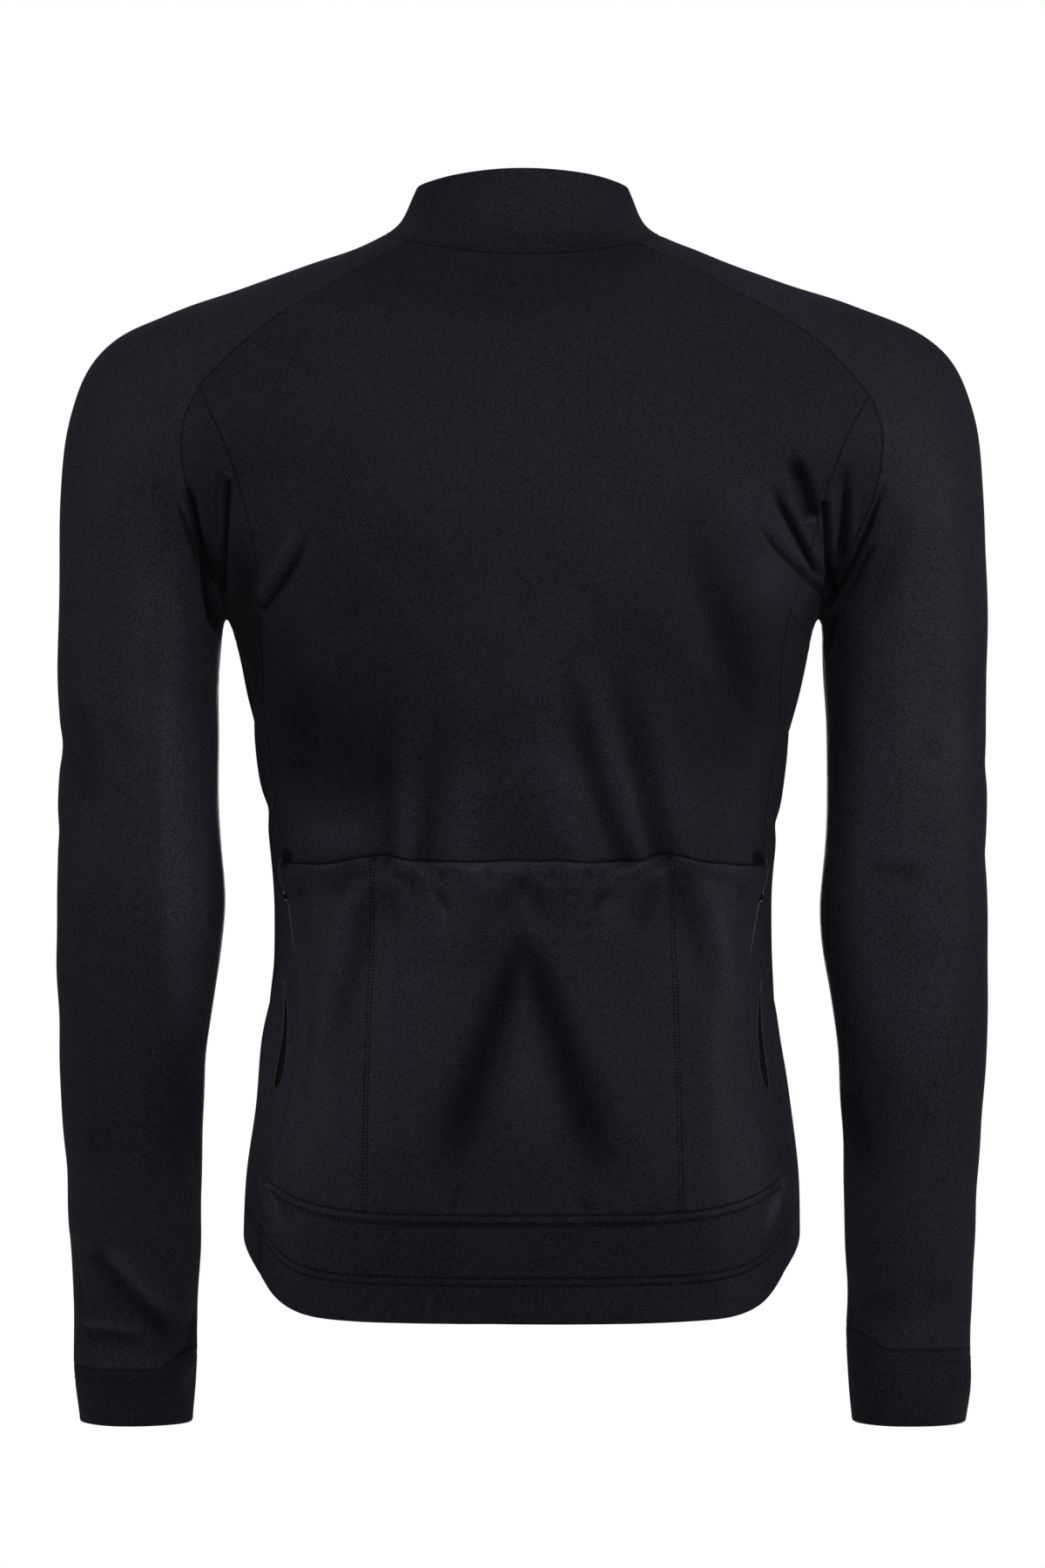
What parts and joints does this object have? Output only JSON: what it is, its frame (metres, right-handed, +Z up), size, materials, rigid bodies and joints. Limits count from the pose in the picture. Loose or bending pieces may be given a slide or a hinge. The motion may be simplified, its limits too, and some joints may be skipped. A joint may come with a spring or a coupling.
{
  "type": "cycling jersey",
  "caption": "Long-sleeved cycling jersey, hollow and filled out as worn, with raglan sleeves, a stand collar, a full front zip and back pockets.",
  "frame": {"origin": "middle of the neck hole, level with the sides of the neck, where the wearer's shoulders hold the jersey up", "axes": "+Z up towards the collar, +X to the wearer's left, -Y out of the zipped front"},
  "size_m": [0.5624, 0.2423, 0.7596],
  "materials": {
    "knit": "fine near-black navy knit with a soft sheen",
    "zip_tape": "black woven tape and moulded teeth",
    "zip_metal": "satin black"
  },
  "bodies": {
    "jersey": {"back_panel": "knit", "front_left": "knit", "front_right": "knit", "side_left": "knit", "side_right": "knit", "gusset_left": "knit", "gusset_right": "knit", "sleeve_left": "knit", "sleeve_right": "knit", "cuff_left": "knit", "cuff_right": "knit", "collar": "knit", "pocket_panel": "knit", "side_zip_left": "zip_tape", "side_zip_right": "zip_tape", "front_zip": "zip_tape", "zip_slider": "zip_metal"},
    "pull": {"zip_pull": "zip_metal"}
  },
  "joints": [
    {"name": "pull_hinge", "type": "hinge", "parent": "jersey", "child": "pull", "pos_m": [0, -0.06755, 0.00827], "axis": [-1, 0, 0], "range_deg": [0, 150]}
  ]
}
